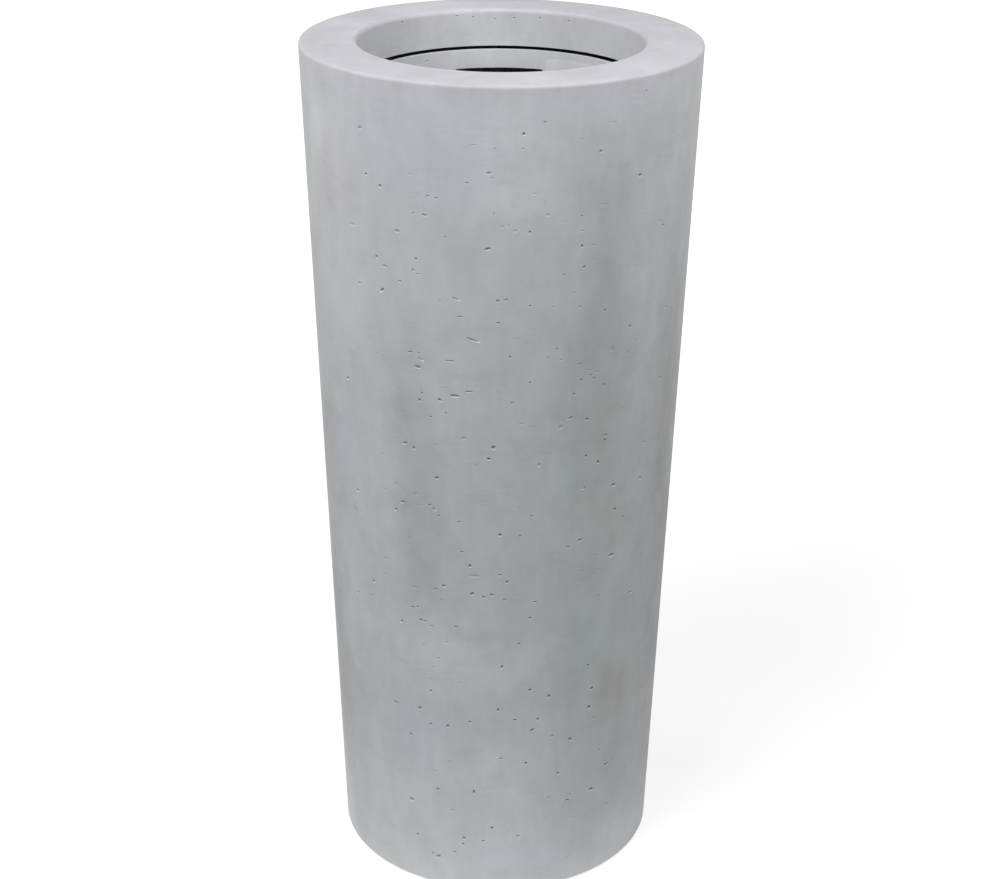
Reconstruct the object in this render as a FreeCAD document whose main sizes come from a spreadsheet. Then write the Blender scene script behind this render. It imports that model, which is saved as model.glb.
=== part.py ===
import FreeCAD, Part
import math
import os
import Sketcher

# Tall round planter laid up in glass fibre and finished like cast cement.
# The frame: +Z up, the origin on the floor under the centre line, and +Y away from the viewer.
# All lengths are in millimetres and all angles in degrees.

PARTS_FOLDER = "parts"
UP = FreeCAD.Vector(0, 0, 1)

# Driving dimensions: the alias of each cell, and its value.
SIZES = {
    # outer shell: a tapered wall, a flat rim turned in over it and a collar turned down inside the mouth
    "shell_height": 997.0,
    "top_radius": 225.0,
    "foot_radius": 192.0,
    "shell_wall": 5.0,
    "mouth_radius": 160.0,
    "rim_thickness": 7.0,
    "collar_depth": 43.6,
    "collar_wall": 6.0,
    "rim_outer_bevel": 2.5,
    "rim_inner_bevel": 3.5,
    "foot_bevel": 1.5,
    "haunch": 10.0,
    # base plate: closes the foot from below, on a flange turned down inside the wall
    "floor_gap": 3.0,
    "base_recess": 12.0,
    "base_thickness": 5.0,
    "base_flange": 5.0,
    "bond_line": 0.3,
    # planting insert: a loose tapered pot that lifts out through the mouth
    "insert_height": 400.0,
    "insert_foot_radius": 130.0,
    "insert_wall": 4.0,
    "insert_floor": 5.0,
    "insert_foot_rise": 10.0,
    "insert_foot_wall": 9.0,
    "insert_haunch": 12.0,
    "mouth_clearance": 2.5,
    "collar_clearance": 2.6,
    "insert_turn": 1.1,
    # hand slots: one at the back and one at the front of the insert
    "slot_width": 105.0,
    "slot_height": 30.0,
    "slot_drop": 22.0,
    "slot_round": 3.0,
    # shelf ring that carries the insert, on gussets bonded to the wall
    "shelf_thickness": 8.0,
    "shelf_opening_radius": 105.0,
    "gusset_count": 4,
    "gusset_thickness": 8.0,
    "gusset_height": 70.0,
    "gusset_nose": 10.0,
    "gusset_setback": 12.0,
    # drain holes and their bungs
    "drain_radius": 12.5,
    "plug_clearance": 0.3,
    "plug_head_radius": 18.0,
    "plug_head_thickness": 4.0,
    "plug_stem": 10.0,
    "tab_width": 20.0,
    "tab_height": 8.0,
    "tab_thickness": 4.0,
    # rubber feet under the base plate
    "pad_count": 4,
    "pad_radius": 20.0,
    "pad_pitch_radius": 150.0,
    "pad_turn": 45.0,
}

doc = FreeCAD.newDocument("tall_planter")
sheet = doc.addObject("Spreadsheet::Sheet", "Sizes")
for row, (alias, value) in enumerate(SIZES.items(), start=1):
    sheet.set(f"A{row}", alias)
    sheet.set(f"B{row}", str(value))
    sheet.setAlias(f"B{row}", alias)
doc.recompute()


def size(alias):
    """The expression that reads one cell of the sheet."""
    return f"Sizes.{alias}"


def number(expression):
    """The number that an expression gives with the sheet as it stands."""
    return float(sheet.evalExpression(expression))


# Heights above the floor that more than one piece depends on, as expressions.
RIM_TOP = f"({size('floor_gap')} + {size('shell_height')})"
COLLAR_EDGE = f"({RIM_TOP} - {size('collar_depth')})"
INSERT_FOOT = f"({COLLAR_EDGE} - {size('collar_clearance')} - {size('insert_height')})"
SHELF_UNDERSIDE = f"({INSERT_FOOT} - {size('shelf_thickness')})"
BASE_UNDERSIDE = f"({size('floor_gap')} + {size('base_recess')})"
BASE_TOP = f"({BASE_UNDERSIDE} + {size('base_thickness')})"

# Heights and radii of the insert, measured from its own foot.
INSERT_TOP_RADIUS = f"({size('mouth_radius')} - {size('mouth_clearance')})"
INSERT_FLOOR_TOP = f"({size('insert_foot_rise')} + {size('insert_floor')})"


def wall_radius(height, inset="0"):
    """Radius of the shell's tapered outside at a height above the floor, less an inset."""
    taper = f"({size('top_radius')} - {size('foot_radius')}) / {size('shell_height')}"
    return f"({size('foot_radius')} + ({height} - {size('floor_gap')}) * {taper} - {inset})"


def bonded_radius(height):
    """Radius of a piece that is bonded to the inside of the shell's wall."""
    return wall_radius(height, f"({size('shell_wall')} + {size('bond_line')})")


def insert_radius(height, inset="0"):
    """Radius of the insert's tapered outside at a height above its own foot, less an inset."""
    taper = f"({INSERT_TOP_RADIUS} - {size('insert_foot_radius')}) / {size('insert_height')}"
    return f"({size('insert_foot_radius')} + {height} * {taper} - {inset})"


def new_body(label):
    """An empty body whose label names the sub-part."""
    body = doc.addObject("PartDesign::Body", label)
    body.Label = label
    return body


def origin_feature(body, role):
    """One of the body's own origin planes or axes."""
    return next(feature for feature in body.Origin.OriginFeatures if feature.Role == role)


def new_sketch(body, name, plane):
    """An empty sketch on one of the body's origin planes."""
    sketch = body.newObject("Sketcher::SketchObject", name)
    sketch.AttachmentSupport = (origin_feature(body, plane), [""])
    sketch.MapMode = "FlatFace"
    return sketch


def bind(sketch, constraint, name, expression):
    """Add a constraint and tie its value to an expression."""
    sketch.renameConstraint(sketch.addConstraint(constraint), name)
    sketch.setExpression(f"Constraints.{name}", expression)


def pin_point(sketch, geometry, end, name, across, up):
    """Hold a point of the sketch at two expressions, or on the upright axis where the first is 0."""
    if across == "0":
        sketch.addConstraint(Sketcher.Constraint("PointOnObject", geometry, end, -2))
    else:
        bind(sketch, Sketcher.Constraint("DistanceX", geometry, end, number(across)), f"{name}_x", across)
    if up == "0":
        sketch.addConstraint(Sketcher.Constraint("PointOnObject", geometry, end, -1))
    else:
        bind(sketch, Sketcher.Constraint("DistanceY", geometry, end, number(up)), f"{name}_y", up)


def draw_outline(sketch, corners):
    """Draw a closed outline through corners (across, up[, round]), all given as expressions.

    A corner with a round becomes a tangent arc, and its own point stays in the sketch on both sides' lines.
    """
    count = len(corners)
    points = [FreeCAD.Vector(number(corner[0]), number(corner[1]), 0) for corner in corners]
    rounds = [number(corner[2]) if len(corner) > 2 else 0.0 for corner in corners]
    starts, ends, centres = [], [], []
    for i, point in enumerate(points):
        to_last = (points[i - 1] - point).normalize()
        to_next = (points[(i + 1) % count] - point).normalize()
        half_angle = to_last.getAngle(to_next) / 2
        setback = rounds[i] / math.tan(half_angle)
        ends.append(point + to_last * setback)
        starts.append(point + to_next * setback)
        centres.append(point + (to_last + to_next).normalize() * (rounds[i] / math.sin(half_angle)))
    for i in range(count):
        sketch.addGeometry(Part.LineSegment(starts[i], ends[(i + 1) % count]), False)
    for i, corner in enumerate(corners):
        last_side, next_side = (i - 1) % count, i
        if not rounds[i]:
            sketch.addConstraint(Sketcher.Constraint("Coincident", last_side, 2, next_side, 1))
            pin_point(sketch, next_side, 1, f"corner{i}", corner[0], corner[1])
            continue
        turn = (ends[i] - points[i]).cross(starts[i] - points[i]).z
        first, last = (ends[i], starts[i]) if turn < 0 else (starts[i], ends[i])
        angles = [math.atan2(p.y - centres[i].y, p.x - centres[i].x) for p in (first, last)]
        circle = Part.Circle(centres[i], UP, rounds[i])
        arc = sketch.addGeometry(Part.ArcOfCircle(circle, angles[0], angles[1]), False)
        mark = sketch.addGeometry(Part.Point(points[i]), True)
        end_of_last, start_of_next = (1, 2) if turn < 0 else (2, 1)
        sketch.addConstraint(Sketcher.Constraint("Tangent", last_side, 2, arc, end_of_last))
        sketch.addConstraint(Sketcher.Constraint("Tangent", next_side, 1, arc, start_of_next))
        sketch.addConstraint(Sketcher.Constraint("PointOnObject", mark, 1, last_side))
        sketch.addConstraint(Sketcher.Constraint("PointOnObject", mark, 1, next_side))
        bind(sketch, Sketcher.Constraint("Radius", arc, rounds[i]), f"round{i}", corner[2])
        pin_point(sketch, mark, 1, f"corner{i}", corner[0], corner[1])


def revolve(body, name, corners):
    """Turn an outline, drawn as radius and height, about the body's upright axis."""
    sketch = new_sketch(body, f"{name}_profile", "XZ_Plane")
    draw_outline(sketch, corners)
    feature = body.newObject("PartDesign::Revolution", name)
    feature.Profile = (sketch, [""])
    feature.ReferenceAxis = (sketch, ["V_Axis"])
    feature.Angle = 360
    doc.recompute()
    return feature


def pad_both_ways(body, name, corners, thickness):
    """Thicken an upright outline to both sides of the body's XZ plane."""
    sketch = new_sketch(body, f"{name}_profile", "XZ_Plane")
    draw_outline(sketch, corners)
    feature = body.newObject("PartDesign::Pad", name)
    feature.Profile = (sketch, [""])
    feature.SideType = "Symmetric"
    feature.setExpression("Length", thickness)
    doc.recompute()
    return feature


def repeat_round(body, name, feature, count):
    """Repeat a feature evenly about the body's upright axis."""
    pattern = body.newObject("PartDesign::PolarPattern", name)
    pattern.Originals = [feature]
    pattern.Axis = (origin_feature(body, "Z_Axis"), [""])
    pattern.Angle = 360
    pattern.setExpression("Occurrences", count)
    body.Tip = pattern
    doc.recompute()


def make_shell():
    """The visible body: tapered wall, flat rim and the collar inside the mouth, in one laminate."""
    body = new_body("shell")
    rim_underside = f"({RIM_TOP} - {size('rim_thickness')})"
    haunch_foot = f"({rim_underside} - {size('haunch')})"
    collar_back = f"({size('mouth_radius')} + {size('collar_wall')})"
    foot_bevel_top = f"({size('floor_gap')} + {size('foot_bevel')})"
    outer_bevel_foot = f"({RIM_TOP} - {size('rim_outer_bevel')})"
    revolve(body, "shell_wall_and_rim", [
        (wall_radius(size("floor_gap"), size("foot_bevel")), size("floor_gap")),
        (wall_radius(foot_bevel_top), foot_bevel_top),
        (wall_radius(outer_bevel_foot), outer_bevel_foot),
        (f"({size('top_radius')} - {size('rim_outer_bevel')})", RIM_TOP),
        (f"({size('mouth_radius')} + {size('rim_inner_bevel')})", RIM_TOP),
        (size("mouth_radius"), f"({RIM_TOP} - {size('rim_inner_bevel')})"),
        (size("mouth_radius"), COLLAR_EDGE),
        (collar_back, COLLAR_EDGE),
        (collar_back, haunch_foot),
        (f"({collar_back} + {size('haunch')})", rim_underside),
        (wall_radius(rim_underside, f"({size('shell_wall')} + {size('haunch')})"), rim_underside),
        (wall_radius(haunch_foot, size("shell_wall")), haunch_foot),
        (wall_radius(size("floor_gap"), size("shell_wall")), size("floor_gap")),
    ])
    return body


def make_base_plate():
    """The disc that closes the foot, bonded by its turned-down flange, with a drain hole."""
    body = new_body("base_plate")
    flange_inside = wall_radius(size("floor_gap"), f"({size('shell_wall')} + {size('base_flange')})")
    revolve(body, "base_disc", [
        (size("drain_radius"), BASE_UNDERSIDE),
        (flange_inside, BASE_UNDERSIDE),
        (flange_inside, size("floor_gap")),
        (bonded_radius(size("floor_gap")), size("floor_gap")),
        (bonded_radius(BASE_TOP), BASE_TOP),
        (size("drain_radius"), BASE_TOP),
    ])
    return body


def make_foot_pads():
    """The rubber feet, stuck under the base plate and standing proud of the shell's edge."""
    body = new_body("foot_pads")
    sketch = new_sketch(body, "foot_pad_profile", "XY_Plane")
    centre = FreeCAD.Vector(number(size("pad_pitch_radius")), 0, 0)
    radius = number(size("pad_radius"))
    circle = sketch.addGeometry(Part.Circle(centre, UP, radius), False)
    pin_point(sketch, circle, 3, "centre", size("pad_pitch_radius"), "0")
    bind(sketch, Sketcher.Constraint("Radius", circle, radius), "pad_radius", size("pad_radius"))
    pad = body.newObject("PartDesign::Pad", "foot_pad")
    pad.Profile = (sketch, [""])
    pad.Reversed = True
    pad.setExpression("Length", BASE_UNDERSIDE)
    repeat_round(body, "foot_pad_ring", pad, size("pad_count"))
    body.Placement = FreeCAD.Placement(FreeCAD.Vector(), FreeCAD.Rotation(UP, number(size("pad_turn"))))
    body.setExpression("Placement.Base.z", BASE_UNDERSIDE)
    return body


def make_insert_shelf():
    """The ring that the insert stands on, bonded round the inside of the wall."""
    body = new_body("insert_shelf")
    revolve(body, "shelf_ring", [
        (size("shelf_opening_radius"), SHELF_UNDERSIDE),
        (bonded_radius(SHELF_UNDERSIDE), SHELF_UNDERSIDE),
        (bonded_radius(INSERT_FOOT), INSERT_FOOT),
        (size("shelf_opening_radius"), INSERT_FOOT),
    ])
    return body


def make_shelf_gussets():
    """The upright gussets under the shelf ring, which carry it down the wall."""
    body = new_body("shelf_gussets")
    tip_radius = f"({size('shelf_opening_radius')} + {size('gusset_setback')})"
    nose_height = f"({SHELF_UNDERSIDE} - {size('gusset_nose')})"
    gusset_foot = f"({SHELF_UNDERSIDE} - {size('gusset_height')})"
    gusset = pad_both_ways(body, "gusset", [
        (bonded_radius(gusset_foot), gusset_foot),
        (bonded_radius(SHELF_UNDERSIDE), SHELF_UNDERSIDE),
        (tip_radius, SHELF_UNDERSIDE),
        (tip_radius, nose_height),
    ], size("gusset_thickness"))
    repeat_round(body, "gusset_ring", gusset, size("gusset_count"))
    return body


def make_planting_insert():
    """The loose pot that holds the plant, with a hand slot at its front and back to lift it by."""
    body = new_body("planting_insert")
    foot_inside = f"({size('insert_foot_radius')} - {size('insert_foot_wall')})"
    haunch_top = f"({INSERT_FLOOR_TOP} + {size('insert_haunch')})"
    floor_edge = insert_radius(INSERT_FLOOR_TOP, f"({size('insert_wall')} + {size('insert_haunch')})")
    pot = revolve(body, "insert_pot", [
        (size("insert_foot_radius"), "0"),
        (INSERT_TOP_RADIUS, size("insert_height")),
        (insert_radius(size("insert_height"), size("insert_wall")), size("insert_height")),
        (insert_radius(haunch_top, size("insert_wall")), haunch_top),
        (floor_edge, INSERT_FLOOR_TOP),
        (size("drain_radius"), INSERT_FLOOR_TOP),
        (size("drain_radius"), size("insert_foot_rise")),
        (foot_inside, size("insert_foot_rise")),
        (foot_inside, "0"),
    ])
    slot_top = f"({size('insert_height')} - {size('slot_drop')})"
    slot_bottom = f"({slot_top} - {size('slot_height')})"
    left, right = f"-{size('slot_width')} / 2", f"{size('slot_width')} / 2"
    sketch = new_sketch(body, "hand_slot_profile", "XZ_Plane")
    draw_outline(sketch, [
        (left, slot_bottom, size("slot_round")),
        (right, slot_bottom, size("slot_round")),
        (right, slot_top, size("slot_round")),
        (left, slot_top, size("slot_round")),
    ])
    slots = body.newObject("PartDesign::Pocket", "hand_slots")
    slots.Profile = (sketch, [""])
    slots.SideType = "Symmetric"
    slots.setExpression("Length", f"3 * {INSERT_TOP_RADIUS}")
    doc.recompute()
    wall_cut = 2 * number(f"{size('slot_width')} * {size('slot_height')} * {size('insert_wall')}")
    if pot.Shape.Volume - slots.Shape.Volume < 0.9 * wall_cut:
        raise RuntimeError("the hand slots don't go through both sides of the insert")
    body.Placement = FreeCAD.Placement(FreeCAD.Vector(), FreeCAD.Rotation(UP, number(size("insert_turn"))))
    body.setExpression("Placement.Base.z", INSERT_FOOT)
    return body


def make_drain_plug(label, floor_top):
    """A rubber bung: a stem in a drain hole, a flat head on the floor and a tab to pull it by."""
    body = new_body(label)
    stem_radius = f"({size('drain_radius')} - {size('plug_clearance')})"
    stem_end = f"-{size('plug_stem')}"
    revolve(body, f"{label}_bung", [
        ("0", stem_end),
        (stem_radius, stem_end),
        (stem_radius, "0"),
        (size("plug_head_radius"), "0"),
        (size("plug_head_radius"), size("plug_head_thickness")),
        ("0", size("plug_head_thickness")),
    ])
    left, right = f"-{size('tab_width')} / 2", f"{size('tab_width')} / 2"
    tab_foot = f"{size('plug_head_thickness')} / 2"
    tab_top = f"({size('plug_head_thickness')} + {size('tab_height')})"
    pad_both_ways(body, f"{label}_tab", [
        (left, tab_foot),
        (right, tab_foot),
        (right, tab_top),
        (left, tab_top),
    ], size("tab_thickness"))
    body.setExpression("Placement.Base.z", floor_top)
    return body


def check_document():
    """Stop if any object of the document failed to recompute."""
    for item in doc.Objects:
        if {"Invalid", "Error"} & set(item.State):
            raise RuntimeError(f"{item.Name} failed: {item.State}")


def export_parts(bodies):
    """Check each sub-part's shape and write it to its own file."""
    for body in bodies:
        if body.Shape.isNull() or not body.Shape.isValid() or not body.Shape.Solids:
            raise RuntimeError(f"{body.Label} has no valid solid")
    os.makedirs(PARTS_FOLDER, exist_ok=True)
    for body in bodies:
        body.Shape.exportStep(os.path.join(PARTS_FOLDER, f"{body.Label}.step"))
        print(f"{body.Label}: {len(body.Shape.Solids)} solids, {body.Shape.Volume / 1000:.1f} cm3")


bodies = [
    make_shell(),
    make_base_plate(),
    make_foot_pads(),
    make_insert_shelf(),
    make_shelf_gussets(),
    make_planting_insert(),
    make_drain_plug("insert_plug", f"({INSERT_FOOT} + {INSERT_FLOOR_TOP})"),
    make_drain_plug("base_plug", BASE_TOP),
]
doc.recompute()
check_document()
export_parts(bodies)
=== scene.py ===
import math
import random

import bmesh
import bpy
import numpy as np
from mathutils import Matrix, Vector, geometry


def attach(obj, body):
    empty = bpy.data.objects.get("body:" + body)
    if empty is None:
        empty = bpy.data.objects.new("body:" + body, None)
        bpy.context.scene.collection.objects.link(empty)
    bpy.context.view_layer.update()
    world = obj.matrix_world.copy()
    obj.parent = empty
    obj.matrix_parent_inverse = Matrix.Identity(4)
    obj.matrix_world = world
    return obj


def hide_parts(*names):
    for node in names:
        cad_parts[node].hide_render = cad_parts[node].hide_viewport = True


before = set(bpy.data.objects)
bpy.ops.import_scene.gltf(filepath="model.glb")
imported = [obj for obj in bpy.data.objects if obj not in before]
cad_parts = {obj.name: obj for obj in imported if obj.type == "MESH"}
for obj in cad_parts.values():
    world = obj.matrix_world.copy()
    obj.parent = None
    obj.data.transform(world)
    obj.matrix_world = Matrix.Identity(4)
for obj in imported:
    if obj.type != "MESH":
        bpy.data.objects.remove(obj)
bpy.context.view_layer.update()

# All lengths are in metres, in the part's own frame: +Z up, +Y away from the viewer.
# An azimuth is measured about +Z from +Y towards +X, so 0 is the back and a half turn is the front.
MM = 0.001
TINY = 0.05 * MM
NEAR_END = 5 * MM
SEED = 11

# The view of the photograph, taken as 1000 by 879 pixels.
IMAGE_WIDTH = 1000
IMAGE_HEIGHT = 879
SENSOR_WIDTH = 36.0
LENS = 73.16
FOCAL_PIXELS = LENS / SENSOR_WIDTH * IMAGE_WIDTH
CAMERA_PLACE = Vector((0.0, -2.245, 1.484))
LOOK_DOWN = math.radians(23.34)
LOOK_RIGHT = math.radians(0.045)
CAMERA_ROLL = math.radians(0.45)

# Rounded edges of the shell and the insert, and the filler in the laminate's inside corners.
FOOT_ROUND = 1.5 * MM
RIM_OUTER_ROUND = 3.5 * MM
RIM_INNER_ROUND = 4.5 * MM
TRIMMED_ROUND = 1.0 * MM
LIP_ROUND = 0.5 * MM
SHARP_ROUND = 0.3 * MM
SHELL_FILLER = 12.0 * MM
INSERT_FILLER = 14.0 * MM

# Where each closed skin passes from its unrolled part to its plainly turned one.
BACK_SPLIT_RISE = 5 * MM
FLOOR_SPLIT_INSET = 30 * MM

# The hand slots of the insert, as in its solid.
SLOT_WIDTH = 105 * MM
SLOT_HEIGHT = 30 * MM
SLOT_DROP = 22 * MM
SLOT_ROUND = 3 * MM
SLOT_EDGE_ROUND = 0.5 * MM
SLOT_EDGE_ANGLES = (30, 60, 90)
INSERT_TURN = math.radians(1.1)

# How finely the round surfaces are divided, how near a hole a row's points may come, and the radius that
# makes an azimuth into a width while a surface is unrolled.
COLUMNS = 192
ARC_STEPS = 6
CORNER_STEPS = 4
SLOT_STEP = 5 * MM
LONG_STEP = 22 * MM
EDGE_SUPPORTS = (1.0 * MM, 3.5 * MM)
HOLE_MARGIN = 2.5 * MM
UNROLL_RADIUS = 0.2
SAME_POINT = 1e-7
WELD = 0.01 * MM

# Colours, as linear values.
CEMENT_LIGHT = (0.557, 0.557, 0.557)
CEMENT_DARK = (0.447, 0.447, 0.447)
# Painted shade for pits and pinholes, and a painted highlight for pits' lower lips, which also makes the
# raised patch paler.
PIT_SHADE = (0.26, 0.26, 0.25)
LIP_HIGHLIGHT_AND_PATCH_PALE = (0.80, 0.81, 0.83)
LAMINATE_LIGHT = (0.085, 0.083, 0.076)
LAMINATE_DARK = (0.035, 0.035, 0.034)
RUBBER_BLACK = (0.022, 0.022, 0.023)
RUBBER_DUST = (0.08, 0.08, 0.078)
WHITE = (1.0, 1.0, 1.0)

# The floor's size and colour. Its white to the camera and its glow on the foot change from their first
# strength to their second over a span of distances from the centre.
FLOOR_RADIUS = 6.0
FLOOR_SIDES = 96
FLOOR_PALE = (0.5, 0.5, 0.5)
FLOOR_WHITE = (0.66, 1.0)
FLOOR_WHITE_SPAN = (0.6, 2.4)
FLOOR_GLOW = (0.62, 0.0)
FLOOR_GLOW_SPAN = (0.20, 0.52)

# The even strength of the world, and each lamp's name, place, target, side and power in watts.
WORLD_EVEN = 0.25
LAMPS = (
    ("key", (-1.6, -1.9, 2.9), (0.0, 0.0, 0.6), 1.8, 59.5),
    ("upper_left", (-0.9, -0.7, 1.9), (0.0, 0.0, 0.9), 1.0, 4.6),
    ("upper_right", (0.9, -0.7, 1.9), (0.0, 0.0, 0.9), 1.0, 8.0),
    ("side_left", (-1.3, 0.4, 1.7), (0.0, 0.0, 0.9), 0.8, 5.8),
    ("side_right", (1.1, -0.2, 1.5), (0.0, 0.0, 1.0), 0.8, 5.1),
)

random_source = random.Random(SEED)


# ---- the photograph's camera

def camera_axes():
    """The camera's own right, up and ahead directions."""
    ahead = Vector((math.sin(LOOK_RIGHT) * math.cos(LOOK_DOWN),
                    math.cos(LOOK_RIGHT) * math.cos(LOOK_DOWN), -math.sin(LOOK_DOWN)))
    right = Vector((math.cos(LOOK_RIGHT), -math.sin(LOOK_RIGHT), 0.0))
    up = right.cross(ahead)
    rolled_right = math.cos(CAMERA_ROLL) * right + math.sin(CAMERA_ROLL) * up
    rolled_up = math.cos(CAMERA_ROLL) * up - math.sin(CAMERA_ROLL) * right
    return rolled_right, rolled_up, ahead


def make_camera():
    """The camera of the photograph."""
    right, up, ahead = camera_axes()
    data = bpy.data.cameras.new("camera")
    data.sensor_fit = "HORIZONTAL"
    data.sensor_width = SENSOR_WIDTH
    data.lens = LENS
    camera = bpy.data.objects.new("camera", data)
    turn = Matrix((right, up, -ahead)).transposed().to_4x4()
    camera.matrix_world = Matrix.Translation(CAMERA_PLACE) @ turn
    bpy.context.scene.collection.objects.link(camera)
    bpy.context.scene.camera = camera


def sight_line(pixel_x, pixel_y):
    """The direction from the camera through a pixel of the photograph."""
    right, up, ahead = camera_axes()
    across = (pixel_x - IMAGE_WIDTH / 2) / FOCAL_PIXELS
    rise = (IMAGE_HEIGHT / 2 - pixel_y) / FOCAL_PIXELS
    return (ahead + across * right + rise * up).normalized()


# ---- sizes read from the frame

def radii_and_heights(node):
    """The distance from the centre line and the height of every corner of a node's mesh."""
    places = np.array([vertex.co[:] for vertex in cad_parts[node].data.vertices])
    return np.hypot(places[:, 0], places[:, 1]), places[:, 2]


def measure_shell():
    """The shell's driving sizes, from its solid: its taper, mouth, collar and wall."""
    radius, height = radii_and_heights("shell")
    foot, top, mouth = height.min(), height.max(), radius.min()
    low_ring = (height > foot + TINY) & (height < foot + NEAR_END)
    low_radius, low_height = radius[low_ring].max(), height[low_ring].min()
    widest = radius.argmax()
    slope = (radius[widest] - low_radius) / (height[widest] - low_height)
    foot_radius = low_radius - slope * (low_height - foot)
    inside_foot = radius[height < foot + TINY].min()
    collar = height[radius < mouth + TINY].min()
    return {
        "foot": foot, "top": top, "mouth": mouth, "slope": slope, "collar": collar,
        "foot_radius": foot_radius, "inside_foot": inside_foot, "wall": foot_radius - inside_foot,
        "collar_back": radius[np.abs(height - collar) < TINY].max(),
        "underside": height[height < top - NEAR_END].max(),
    }


def measure_insert():
    """The insert's driving sizes, from its solid: its taper, wall, floor and drain hole."""
    radius, height = radii_and_heights("planting_insert")
    foot, top, drain = height.min(), height.max(), radius.min()
    top_ring = height > top - TINY
    foot_ring = height < foot + TINY
    drain_ring = radius < drain + TINY
    return {
        "foot": foot, "top": top, "drain": drain,
        "top_radius": radius[top_ring].max(), "wall": np.ptp(radius[top_ring]),
        "foot_radius": radius[foot_ring].max(), "foot_inside": radius[foot_ring].min(),
        "floor": height[drain_ring].max(), "underside": height[drain_ring].min(),
    }


SHELL = {name: float(size) for name, size in measure_shell().items()}
INSERT = {name: float(size) for name, size in measure_insert().items()}
SLOT_CENTRE = INSERT["top"] - SLOT_DROP - SLOT_HEIGHT / 2


def wall_radius(height):
    """The radius of the shell's tapered outside at a height."""
    return SHELL["foot_radius"] + SHELL["slope"] * (height - SHELL["foot"])


def insert_radius(height):
    """The radius of the insert's tapered outside at a height."""
    share = (height - INSERT["foot"]) / (INSERT["top"] - INSERT["foot"])
    return INSERT["foot_radius"] + share * (INSERT["top_radius"] - INSERT["foot_radius"])


def collar_radius(_height):
    """The radius of the collar's upright inside."""
    return SHELL["mouth"]


def insert_inside_radius(height):
    """The radius of the insert's tapered inside at a height."""
    return insert_radius(height) - INSERT["wall"]


def place_at_pixel(pixel_x, pixel_y, radius_at, far):
    """The place where the sight through a pixel meets a tapered wall, at its near or its far side."""
    sight, start = sight_line(pixel_x, pixel_y), CAMERA_PLACE
    start_radius = radius_at(start.z)
    slope = radius_at(start.z + 1.0) - start_radius
    square = sight.x ** 2 + sight.y ** 2 - (slope * sight.z) ** 2
    linear = 2 * (start.x * sight.x + start.y * sight.y - slope * sight.z * start_radius)
    constant = start.x ** 2 + start.y ** 2 - start_radius ** 2
    root = math.sqrt(linear ** 2 - 4 * square * constant)
    distance = (-linear + (root if far else -root)) / (2 * square)
    return start + distance * sight


# ---- profiles of turned surfaces

def rounded_profile(corners):
    """Points along an outline of (radius, height, round) corners, with arcs at all but its two bare ends.

    Long straight stretches are divided, and close rows beside each arc keep its shading off the flats.
    """
    points = [Vector(corner[:2]) for corner in corners]
    stations = [points[0]]
    for i in range(1, len(points) - 1):
        point, bend = points[i], corners[i][2]
        to_last = (points[i - 1] - point).normalized()
        to_next = (points[i + 1] - point).normalized()
        half_angle = to_last.angle(to_next) / 2
        setback = bend / math.tan(half_angle)
        centre = point + (to_last + to_next).normalized() * (bend / math.sin(half_angle))
        first = point + to_last * setback - centre
        last = point + to_next * setback - centre
        sweep = math.copysign(math.pi - 2 * half_angle, first.cross(last))
        for step in range(ARC_STEPS + 1):
            stations.append(centre + Matrix.Rotation(sweep * step / ARC_STEPS, 2) @ first)
    stations.append(points[-1])
    return divided(stations)


def divided(stations):
    """The stations of a profile, with rows added on its long stretches."""
    rows = [stations[0]]
    for start, end in zip(stations, stations[1:]):
        length = (end - start).length
        near_ends = [near for near in EDGE_SUPPORTS if near < length / 3]
        count = max(1, math.ceil(length / LONG_STEP))
        marks = near_ends + [length - near for near in near_ends]
        marks += [length * step / count for step in range(1, count)]
        rows += [start.lerp(end, mark / length) for mark in sorted(marks)]
        rows.append(end)
    return rows


class Profile:
    """A profile turned about the centre line, with the solid on its left as it is followed."""

    def __init__(self, corners):
        rows = rounded_profile(corners)
        self.radii = np.array([row.x for row in rows])
        self.heights = np.array([row.y for row in rows])
        steps = np.hypot(np.diff(self.radii), np.diff(self.heights))
        self.lengths = np.concatenate([[0.0], np.cumsum(steps)])
        self.out_radial = np.diff(self.heights) / steps
        self.out_upward = -np.diff(self.radii) / steps

    def radius(self, along):
        """The radius at a distance along the profile."""
        return float(np.interp(along, self.lengths, self.radii))

    def height(self, along):
        """The height at a distance along the profile."""
        return float(np.interp(along, self.lengths, self.heights))

    def place(self, azimuth, along, depth=0.0):
        """The point at an azimuth and a distance along the profile, sunk by a depth below the surface."""
        stretch = int(np.searchsorted(self.lengths, along, side="right")) - 1
        stretch = min(max(0, stretch), len(self.out_radial) - 1)
        radius = self.radius(along) - depth * self.out_radial[stretch]
        height = self.height(along) - depth * self.out_upward[stretch]
        return Vector((radius * math.sin(azimuth), radius * math.cos(azimuth), height))

    def along_at_height(self, height, rising=True):
        """The distance along the profile where its outside, or else its inside, passes a height."""
        highest = int(self.heights.argmax())
        part = slice(0, highest + 1) if rising else slice(highest, None)
        heights, lengths = self.heights[part], self.lengths[part]
        order = np.argsort(heights, kind="stable")
        return float(np.interp(height, heights[order], lengths[order]))


def turned_rows(mesh, profile):
    """Turn a profile into rings of four-sided faces, for surfaces without pits or slots."""
    rings = []
    for along in profile.lengths:
        places = [profile.place(math.tau * i / COLUMNS, along) for i in range(COLUMNS)]
        rings.append([mesh.verts.new(place) for place in places])
    faces = []
    for low, high in zip(rings, rings[1:]):
        for i in range(COLUMNS):
            j = (i + 1) % COLUMNS
            faces.append(mesh.faces.new((low[j], low[i], high[i], high[j])))
    return faces


# ---- pits in the finish

# Depths are shares of a pit's lesser size, and clearances are multiples of its reach.
OPEN_DEPTH = 0.55
COLLAR_DEPTH = 0.5
FAINT_DEPTH = 0.14
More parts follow.
